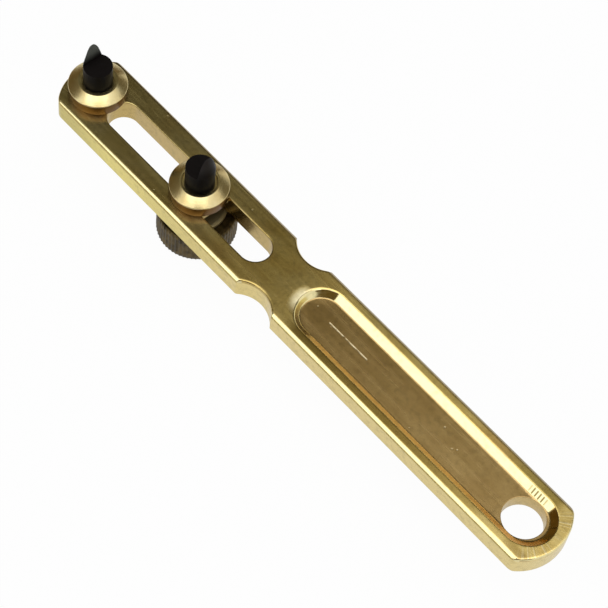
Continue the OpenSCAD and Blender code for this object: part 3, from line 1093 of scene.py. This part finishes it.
# %% Scratches, nicks and the fan
NICKS = ((46.4, -0.7, 0.3), (47.9, -0.9, 0.22), (43.7, 0.1, 0.2), (20.2, -1.8, 0.3),
         (19.0, -1.5, 0.26), (15.6, 0.2, 0.32), (14.9, -0.2, 0.22), (90.9, -5.8, 0.3),
         (67.8, -4.4, 0.3), (22.5, 2.9, 0.2), (81.0, 5.6, 0.2))
NICK_DEPTH = 0.4
CHATTER_PITCH = 0.66


def scratches(tree, coords, x, y, panel):
    """The long scratch and the nicks. Noise breaks them up, and a nick is (x, y, size)."""
    broken = fade(tree, noise(tree, coords, 700, (1, 1, 1), 2), 0.36, 0.55)
    line = window(tree, y, -0.34, -0.2, 0.08)
    length = window(tree, x, 35.8, 44.2, 0.4)
    worn = product(tree, line, length, broken, panel)
    for nick in NICKS:
        worn = maths(tree, "MAXIMUM", worn, product(tree, spot(tree, x, y, *nick), broken, NICK_DEPTH))
    return worn


def fan_of_scratches(tree, x, y, below_top):
    """Rays on the end's top face: noise along the bearing from the hole's axis."""
    rays = line_noise(tree, maths(tree, "ARCTAN2", y, x), 15)
    fan = product(tree, fade(tree, rays, 0.5, 0.75), fade(tree, x, -2, -5))
    return maths(tree, "MAXIMUM", maths(tree, "SUBTRACT", fan, below_top), 0)


def cutter_chatter(tree, x, y, z, panel):
    """Stripes on the far wall beside the hole, one every CHATTER_PITCH millimetres."""
    stripes = maths(tree, "SINE", maths(tree, "MULTIPLY", x, 2 * math.pi / CHATTER_PITCH))
    return product(tree, fade(tree, stripes, -0.1, 0.6), panel,
                   region(tree, (y, -3.7, -3.8), (z, 4.15, 3.9)),
                   window(tree, x, 0.2, 2.0, 1.6))


def paint_crescent_highlight(tree, coords, x, y, below_top):
    """A spot on the top face at the waist, held near the panel's end arc and broken by noise, which
    carries a pale painted highlight.
    """
    pale = maths(tree, "SUBTRACT", spot(tree, x, y, 49.9, 0.9, 3.2), below_top)
    from_arc = distance(tree, maths(tree, "SUBTRACT", x, PANEL_X[1]), y)
    streaks = ramp(tree, noise(tree, coords, 1500), [(0.35, 0.75), (0.6, 1)])
    return product(tree, maths(tree, "MAXIMUM", pale, 0), fade(tree, from_arc, 6.7, 5.4), streaks)


# %% Put the bar's brass together


def bar_brass():
    """Brass with an olive top, a redder milled panel, bright edges, marks of use, and painted shade
    and reflections.
    """
    material, tree, shader, coords = new_metal("handled bar brass")
    x, y, z = in_millimetres(tree, coords)
    masks = bar_masks(tree, x, y, z)
    masks["worn"] = scratches(tree, coords, x, y, masks["panel"])
    masks["fan"] = fan_of_scratches(tree, x, y, masks["below_top"])
    masks["highlight_crescent"] = paint_crescent_highlight(tree, coords, x, y, masks["below_top"])
    masks["chatter"] = cutter_chatter(tree, x, y, z, masks["panel"])
    colour = bar_tint(tree, coords, x, masks)
    for mark, strength, tint in (("worn", 0.8, (0.95, 0.85, 0.6)), ("fan", 0.45, (0.95, 0.86, 0.6)),
                                 # Painted highlight: the crescent's pale tint.
                                 ("highlight_crescent", 1.0, (1.0, 0.92, 0.62)),
                                 ("chatter", 0.9, (0.14, 0.1, 0.035))):
        colour = blend_colours(tree, product(tree, masks[mark], strength), colour, tint)
    tree.links.new(colour, shader.inputs["Base Color"])
    shader.inputs["Metallic"].default_value = 1
    brushing = noise(tree, coords, 500, (0.12, 3, 3), 5)
    gloss = ramp(tree, brushing, [(0.25, 0.2), (0.75, 0.3)])
    for place, roughness in (("bright", 0.12), ("near_wall_painted_reflection", 0.5), ("bevel_foot_painted_shade", 0.5),
                             ("worn", 0.5), ("highlight_crescent", 0.6)):
        gloss = blend_colours(tree, masks[place], gloss, roughness)
    tree.links.new(gloss, shader.inputs["Roughness"])
    waves = noise(tree, coords, 700, (0.5, 1, 1))
    normal = None
    for height, depth in ((brushing, 0.0000015), (waves, 0.000006), (masks["fan"], 0.0000025),
                          (masks["worn"], -0.00002), (masks["highlight_crescent"], -0.00008)):
        normal = bump(tree, height, depth, normal)
    tree.links.new(normal, shader.inputs["Normal"])
    return material


# %% [markdown]
# ### Turned brass
#
# A lathe leaves fine rings on the collars and the washer. They could be modelled, but they
# are a few thousandths of a millimetre deep. Their height depends only on the distance from
# the axis, so the coordinates are first moved to the axis, and noise along that distance
# gives the relief. The collars' upright sides are painted dark brown, a painted dark
# reflection, and the washer's tint is darkened as painted shade.

# %% The collars' and washer's brass
CONE_FOOT = THICKNESS + 2.0
# Painted dark reflection on the collars' upright sides.
PAINTED_DARK_REFLECTION = (0.17, 0.09, 0.024)
DARK_TURNED, LIGHT_TURNED = (0.66, 0.51, 0.23), (0.75, 0.64, 0.34)


def turned_brass(name, x, painted_shade_factor=1.0, painted_shade_top=None):
    """Brighter brass with fine rings about the axis at x, in millimetres.

    The tints are multiplied by the shade factor, which paints shade over the whole piece.
    From the handle's top up to the given height the side is painted dark brown as a painted
    dark reflection, and under the handle's top, in the slot, it is rough.
    """
    material, tree, shader, coords = new_metal(name)
    z = in_millimetres(tree, coords)[2]
    patches = noise(tree, coords, 420)
    # Painted shade: the tints are darkened by the shade factor.
    tint = ramp(tree, patches, [(0.3, [part * painted_shade_factor for part in DARK_TURNED]),
                                (0.7, [part * painted_shade_factor for part in LIGHT_TURNED])])
    if painted_shade_top is not None:
        # Painted dark reflection: the upright side is painted dark brown.
        brown = window(tree, z, THICKNESS, painted_shade_top - 0.1, 0.1)
        tint = blend_colours(tree, brown, tint, PAINTED_DARK_REFLECTION)
    tree.links.new(tint, shader.inputs["Base Color"])
    shader.inputs["Metallic"].default_value = 1
    in_slot = fade(tree, z, THICKNESS + 0.02, THICKNESS - 0.1)
    tree.links.new(ramp(tree, in_slot, [(0, 0.24), (1, 0.6)]), shader.inputs["Roughness"])
    centred = tree.nodes.new("ShaderNodeMapping")
    centred.inputs["Location"].default_value = (-x * MM, 0, 0)
    centred.inputs["Scale"].default_value = (1, 1, 0)
    tree.links.new(coords, centred.inputs["Vector"])
    from_axis = tree.nodes.new("ShaderNodeVectorMath")
    from_axis.operation = "LENGTH"
    tree.links.new(centred.outputs["Vector"], from_axis.inputs[0])
    rings = line_noise(tree, from_axis.outputs["Value"], 9000)
    tree.links.new(bump(tree, rings, 0.000004), shader.inputs["Normal"])
    return material


# %% [markdown]
# ### Knurled and plain steel
#
# The nut was blackened once, and handling has worn it to a patchy brown black. The screw is
# bare. Both could be one flat grey, but steel that is handled is never even, so the tint and
# the roughness drift together over soft patches, and a fine grit roughens the surface.

# %% Steel


def steel(name, dark, light, rough, grain):
    """Steel whose colour drifts between two tints over patches of 1 / grain metres."""
    material, tree, shader, coords = new_metal(name)
    patches = noise(tree, coords, grain, detail=5)
    tree.links.new(ramp(tree, patches, [(0.35, dark), (0.7, light)]), shader.inputs["Base Color"])
    shader.inputs["Metallic"].default_value = 1
    gloss = ramp(tree, patches, [(0.3, rough - 0.08), (0.7, rough + 0.1)])
    tree.links.new(gloss, shader.inputs["Roughness"])
    grit = noise(tree, coords, 4000)
    tree.links.new(bump(tree, grit, 0.000006), shader.inputs["Normal"])
    return material


# %% [markdown]
# ### Blackened pins
#
# Hardened pins are blackened in hot oil or salts. The black is a skin of oxide and not bare
# metal, so Metallic is 0 here and the gloss is low. A dark metal would also look black, but
# it would mirror the white room on every flat. The skin is thinnest on the tooth, which
# bites into case backs, so the colour pales towards the tip. The fixed pin's tooth is much
# paler than the sliding pin's, which is painted light on its lit face, and the shoulder is a
# little lighter than the shank, which is painted light on a face that looks up.

# %% Black oxide
SHANK_BLACK = (0.0035, 0.003, 0.0032)
# Painted light: the upward shoulder is a little lighter than the shank.
LIT_SHOULDER_BLACK = (0.0075, 0.006, 0.0055)


def black_oxide(name, tooth_wear_and_light):
    """A black skin that is not a metal itself, worn to the tooth colour at the tip, which also holds
    painted light.
    """
    material, tree, shader, coords = new_metal(name)
    z = in_millimetres(tree, coords)[2]
    shoulder = THICKNESS + SHOULDER
    # Painted light on the shoulder, the face that looks up.
    painted_light_on_top = fade(tree, z, shoulder - 0.1, shoulder)
    on_tooth = fade(tree, z, shoulder + 0.1, shoulder + 2.6)
    colour = blend_colours(tree, painted_light_on_top, SHANK_BLACK, LIT_SHOULDER_BLACK)
    # The tooth colour is wear towards the tip, and on the fixed pin painted light too.
    colour = blend_colours(tree, on_tooth, colour, tooth_wear_and_light)
    tree.links.new(colour, shader.inputs["Base Color"])
    shader.inputs["Metallic"].default_value = 0
    shader.inputs["Specular IOR Level"].default_value = 0.05
    patches = noise(tree, coords, 900, detail=5)
    tree.links.new(ramp(tree, patches, [(0.3, 0.32), (0.7, 0.5)]), shader.inputs["Roughness"])
    tree.links.new(bump(tree, patches, 0.00001), shader.inputs["Normal"])
    return material


# %% Put the metals on
screw.data.materials.clear()
for piece, metal in (
    (handle, bar_brass()),
    (fixed_collar, turned_brass("fixed collar brass", FIXED_X, painted_shade_top=CONE_FOOT)),
    (sliding_collar, turned_brass("sliding collar brass", SLIDING_X, painted_shade_top=CONE_FOOT)),
    # Painted shade: the washer under the bar is darkened to about a third.
    (washer, turned_brass("washer brass", SLIDING_X, painted_shade_factor=0.35)),
    # Painted light: the fixed tooth's much paler colour paints its lit face.
    (fixed_pin, black_oxide("fixed pin steel", (0.1, 0.105, 0.09))),
    (sliding_pin, black_oxide("sliding pin steel", (0.024, 0.021, 0.02))),
    (nut, steel("black knurled steel", (0.035, 0.026, 0.012), (0.18, 0.13, 0.055), 0.42, 700)),
    (screw, steel("plain screw steel", (0.4, 0.39, 0.38), (0.55, 0.54, 0.52), 0.35, 900)),
):
    piece.data.materials.append(metal)
    print(piece.name, "is made of", metal.name)

# %% [markdown]
# ## The floor and the room
#
# Shiny metal is lit by what it mirrors. The tool stands over white paper in a white room,
# which gives the upright sides their pale gold. The floor could be lit until it looks white,
# but then it would throw that light on the tool. So Light Path makes it white for the
# camera and half white in a mirror, and leaves it plain paper for all other light.
# It lies just below the lowest place that the nut can reach.

# %% The floor
NUT_TRAVEL = 1.42
FLOOR_Z = NUT_BASE - NUT_TRAVEL - 0.02
FLOOR_RADIUS = 1200
FLOOR_RINGS, FLOOR_COLUMNS = 13, 64
TOOL_MIDDLE_X = 50


def floor_disc():
    """A flat disc of rings of points: the radius grows as the square of the ring's number."""
    last = FLOOR_RINGS - 1
    profile = [(FLOOR_RADIUS * (ring / last) ** 2, FLOOR_Z) for ring in range(FLOOR_RINGS)]
    rows = ring_rows(profile, TOOL_MIDDLE_X, FLOOR_COLUMNS) * MM
    mesh = bpy.data.meshes.new("studio_floor")
    faces = grid_faces(FLOOR_RINGS, FLOOR_COLUMNS, False).tolist()
    mesh.from_pydata(rows.reshape(-1, 3).tolist(), [], faces)
    disc = bpy.data.objects.new("studio_floor", mesh)
    bpy.context.scene.collection.objects.link(disc)
    return disc


floor = floor_disc()
print("the floor lies at z =", round(FLOOR_Z, 2), "mm")

# %% The floor's paper


def seen(tree, by_eye, by_mirror):
    """by_eye for camera rays, by_mirror for glossy and transmitted rays, 0 for diffuse light."""
    path = tree.nodes.new("ShaderNodeLightPath")
    mirror = maths(tree, "MAXIMUM", path.outputs["Is Glossy Ray"],
                   path.outputs["Is Transmission Ray"])
    eye = maths(tree, "MULTIPLY", path.outputs["Is Camera Ray"], by_eye)
    return maths(tree, "MAXIMUM", eye, maths(tree, "MULTIPLY", mirror, by_mirror))


def white_paper():
    """Matt paper for diffuse light, mixed with an even white for the camera and for mirrors."""
    paper = bpy.data.materials.new("white paper floor")
    paper.use_nodes = True
    tree = paper.node_tree
    matt = tree.nodes["Principled BSDF"]
    matt.inputs["Base Color"].default_value = (0.85, 0.85, 0.85, 1)
    matt.inputs["Roughness"].default_value = 0.9
    matt.inputs["Specular IOR Level"].default_value = 0.0
    glow = tree.nodes.new("ShaderNodeEmission")
    glow.inputs["Color"].default_value = (1, 1, 1, 1)
    either = tree.nodes.new("ShaderNodeMixShader")
    tree.links.new(seen(tree, 0.965, 0.5), either.inputs["Fac"])
    tree.links.new(matt.outputs["BSDF"], either.inputs[1])
    tree.links.new(glow.outputs["Emission"], either.inputs[2])
    tree.links.new(either.outputs["Shader"], tree.nodes["Material Output"].inputs["Surface"])
    return paper


floor.data.materials.append(white_paper())

# %% The room's own light
ROOM_LEVEL = 0.55
world = bpy.data.worlds.new("plain studio")
world.use_nodes = True
bpy.context.scene.world = world
sky = world.node_tree.nodes["Background"]
sky.inputs["Color"].default_value = (1, 1, 1, 1)
white_when_seen = seen(world.node_tree, 1 - ROOM_LEVEL, 1 - ROOM_LEVEL)
room = maths(world.node_tree, "ADD", white_when_seen, ROOM_LEVEL)
world.node_tree.links.new(room, sky.inputs["Strength"])

# %% [markdown]
# ## Lamps
#
# Two soft boxes light the tool. One is overhead and lights the cones, and one is low on the
# near side and lights the edges that face it. Small lamps would do, but polished brass would
# show them as hard white dots, and a soft box shows as a broad even gleam.

# %% Two soft boxes
MIDDLE = Vector((0.05, 0, 0.002))


def direction(azimuth, elevation):
    """The unit vector at that bearing from +X towards +Y, and that height over the floor."""
    a, e = math.radians(azimuth), math.radians(elevation)
    return Vector((math.cos(a) * math.cos(e), math.sin(a) * math.cos(e), math.sin(e)))


def soft_box(name, azimuth, elevation, size, level, away=0.9):
    """A flat lamp that faces the tool. Its brightness seen in a mirror is level.

    An area lamp of power P and area A has a radiance of P / (pi * A).
    """
    lamp = bpy.data.lights.new(name, "AREA")
    lamp.shape = "RECTANGLE"
    lamp.size, lamp.size_y = size
    lamp.energy = level * math.pi * size[0] * size[1]
    box = bpy.data.objects.new(name, lamp)
    way = direction(azimuth, elevation)
    box.location = MIDDLE + way * away
    box.rotation_euler = way.to_track_quat("Z", "Y").to_euler()
    bpy.context.scene.collection.objects.link(box)
    print(f"{name}: {lamp.energy:.2f} W")


soft_box("overhead box", 117, 83, (0.85, 0.85), 1.2)
soft_box("low side box", 73, 31, (0.61, 0.4), 0.85)

# %% [markdown]
# ## Dark cards
#
# In an all-white room brass looks washed out. A photographer hangs black or brown cards
# where the metal should mirror something darker, and so does this studio. The far card
# gives the flat top its deep olive, and pales upwards so that the top gets lighter towards
# the grip. The others hang at the side, round the horizon and about the camera, and darken
# what the walls, the bevels and the cones mirror. The same darkness could be painted on the
# brass, but then it wouldn't change as the tool turns. The camera and diffuse light look
# straight through the cards, and only mirrors see them.

# %% Make a card
CARD_DISTANCE = 0.8
CARD_ROWS, CARD_COLUMNS = 21, 41


def card_mesh(name, azimuths, elevations):
    """A patch of a sphere about the tool: point (i, j) lies at elevation i and azimuth j."""
    a = np.radians(np.linspace(*azimuths, CARD_COLUMNS))[None, :]
    e = np.radians(np.linspace(*elevations, CARD_ROWS))[:, None]
    height = np.broadcast_to(np.sin(e), (CARD_ROWS, CARD_COLUMNS))
    points = np.stack([np.cos(a) * np.cos(e), np.sin(a) * np.cos(e), height], axis=-1)
    points = points * CARD_DISTANCE + np.array(MIDDLE)
    corner = np.arange(CARD_ROWS - 1)[:, None] * CARD_COLUMNS + np.arange(CARD_COLUMNS - 1)
    quads = np.stack([corner, corner + 1, corner + CARD_COLUMNS + 1, corner + CARD_COLUMNS], axis=-1)
    mesh = bpy.data.meshes.new(name)
    mesh.from_pydata(points.reshape(-1, 3).tolist(), [], quads.reshape(-1, 4).tolist())
    return mesh


def felt(name, shades):
    """Even felt. Its shades are (height over the radius, colour), so it can pale upwards."""
    material, tree, shader, coords = new_metal(name)
    tree.nodes.remove(shader)
    split = tree.nodes.new("ShaderNodeSeparateXYZ")
    tree.links.new(coords, split.inputs["Vector"])
    height = maths(tree, "DIVIDE", split.outputs["Z"], CARD_DISTANCE)
    dim = tree.nodes.new("ShaderNodeEmission")
    tree.links.new(ramp(tree, height, shades), dim.inputs["Color"])
    tree.links.new(dim.outputs["Emission"], tree.nodes["Material Output"].inputs["Surface"])
    return material


def dark_card(name, azimuths, elevations, shades):
    """A card of felt that only reflections see."""
    card = bpy.data.objects.new(name, card_mesh(name, azimuths, elevations))
    card.data.materials.append(felt(name, shades))
    card.visible_camera = False
    card.visible_diffuse = False
    bpy.context.scene.collection.objects.link(card)
    return card


# %% Hang the cards
FELT = [(0, (0.12, 0.08, 0.026)), (0.38, (0.12, 0.08, 0.026)), (0.44, (0.14, 0.12, 0.08))]
WARM_FELT = [(0, (0.13, 0.088, 0.03)), (1, (0.13, 0.088, 0.03))]
DEEP_FELT = [(0.5, (0.13, 0.11, 0.065)), (0.8, (0.055, 0.053, 0.03)), (0.843, (0.12, 0.1, 0.055)),
             (0.891, (0.38, 0.35, 0.2)), (0.91, (0.55, 0.5, 0.36)), (0.935, (1.0, 1.0, 0.95))]
far_card = dark_card("far_card", (-95, 10), (14, 69), DEEP_FELT)
low_far_card = dark_card("low_far_card", (-130, -95), (14, 42), DEEP_FELT)
side_card = dark_card("side_card", (8, 54), (-2, 48), FELT)
horizon_card = dark_card("horizon_card", (-70, 118), (-2, 16), WARM_FELT)
camera_card = dark_card("camera_card", (92, 168), (12, 46), WARM_FELT)
lens_card = dark_card("lens_card", (118, 154), (44, 61), WARM_FELT)

# %% [markdown]
# ## The camera
#
# The camera's place was worked out from the photograph by fitting the tool's straight
# edges and circles. It could be set by eye, but an error of a degree shows as a shifted
# edge. It stands about a third of a metre away, 59 degrees above the floor and slightly
# rolled, behind a long lens.

# %% Set the camera
CAMERA_AZIMUTH = 129.96
CAMERA_ELEVATION = 59.0
CAMERA_ROLL = 9.17
CAMERA_DISTANCE = 0.3349
CAMERA_TARGET = Vector((0.049143, 0.001123, 0.00425))
CAMERA_LENS = 123.92

lens = bpy.data.cameras.new("camera")
lens.sensor_width = 36
lens.lens = CAMERA_LENS
lens.clip_start = 0.01
camera = bpy.data.objects.new("camera", lens)
bpy.context.scene.collection.objects.link(camera)
back = direction(CAMERA_AZIMUTH, CAMERA_ELEVATION)
right = (-back).cross(Vector((0, 0, 1))).normalized()
up = right.cross(-back)
roll = math.radians(CAMERA_ROLL)
side = right * math.cos(roll) + up * math.sin(roll)
top = up * math.cos(roll) - right * math.sin(roll)
turn = Matrix((side, top, back)).transposed().to_4x4()
turn.translation = CAMERA_TARGET + back * CAMERA_DISTANCE
camera.matrix_world = turn
bpy.context.scene.camera = camera
bpy.context.scene.view_settings.view_transform = "Standard"
